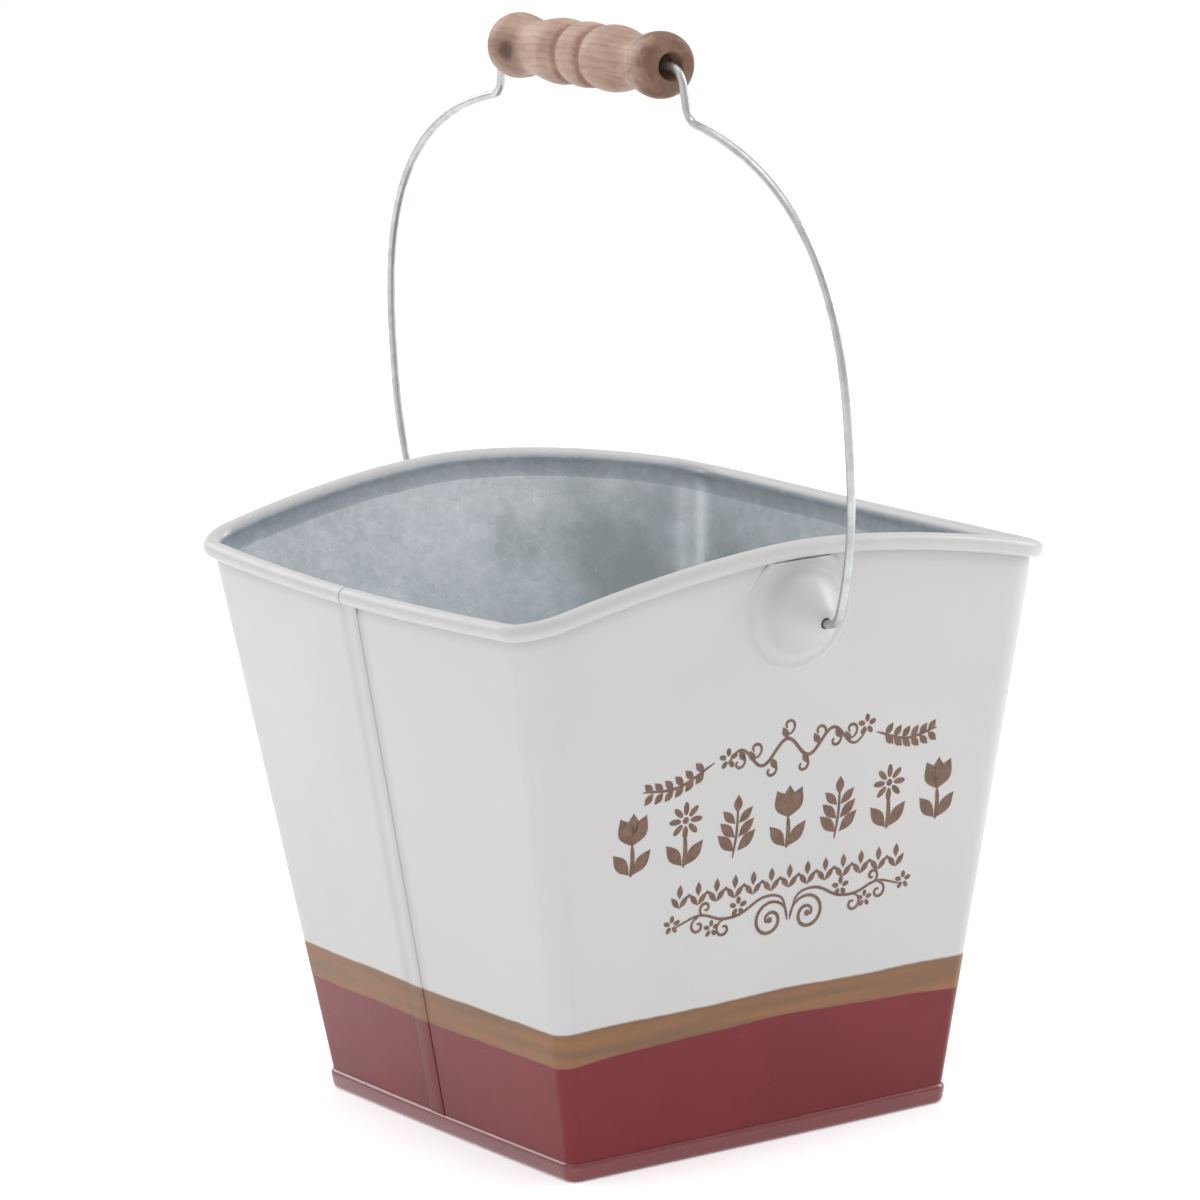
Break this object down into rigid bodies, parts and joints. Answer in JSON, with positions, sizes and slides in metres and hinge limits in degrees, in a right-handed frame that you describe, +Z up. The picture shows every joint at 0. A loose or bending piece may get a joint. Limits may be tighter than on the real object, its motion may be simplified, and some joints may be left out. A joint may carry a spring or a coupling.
{
  "type": "florist bucket",
  "caption": "Square tapering sheet-metal bucket with an arched wired rim, painted outside, zinc inside, and a swinging wire bail with a turned wooden grip.",
  "frame": {"origin": "on the floor, under the middle of the bucket", "axes": "+Z up; the printed front wall faces -Y; the lock seam is on the -X wall; the bail swings about an axis along Y"},
  "size_m": [0.204, 0.2556, 0.3403],
  "materials": {
    "white_paint": "warm white satin paint over galvanised sheet",
    "red_paint": "deep red gloss paint",
    "galvanised_steel": "dull galvanised steel with a faint spangle",
    "turned_wood": "bare turned beech, sanded"
  },
  "bodies": {
    "bucket": {"wall_sheet": "white_paint", "rim_wire": "galvanised_steel", "bottom_pan": "red_paint", "front_ear": "white_paint", "rear_ear": "white_paint"},
    "bail": {"bail_wire": "galvanised_steel"},
    "grip": {"grip": "turned_wood"}
  },
  "joints": [
    {"name": "bail_swing", "type": "hinge", "parent": "bucket", "child": "bail", "pos_m": [0, 0, 0.16901], "axis": [0, 1, 0], "range_deg": [-140, 140]},
    {"name": "grip_spin", "type": "hinge", "parent": "bail", "child": "grip", "pos_m": [-0.00506, 0, 0.32993], "axis": [0, 1, 0], "continuous": true}
  ]
}
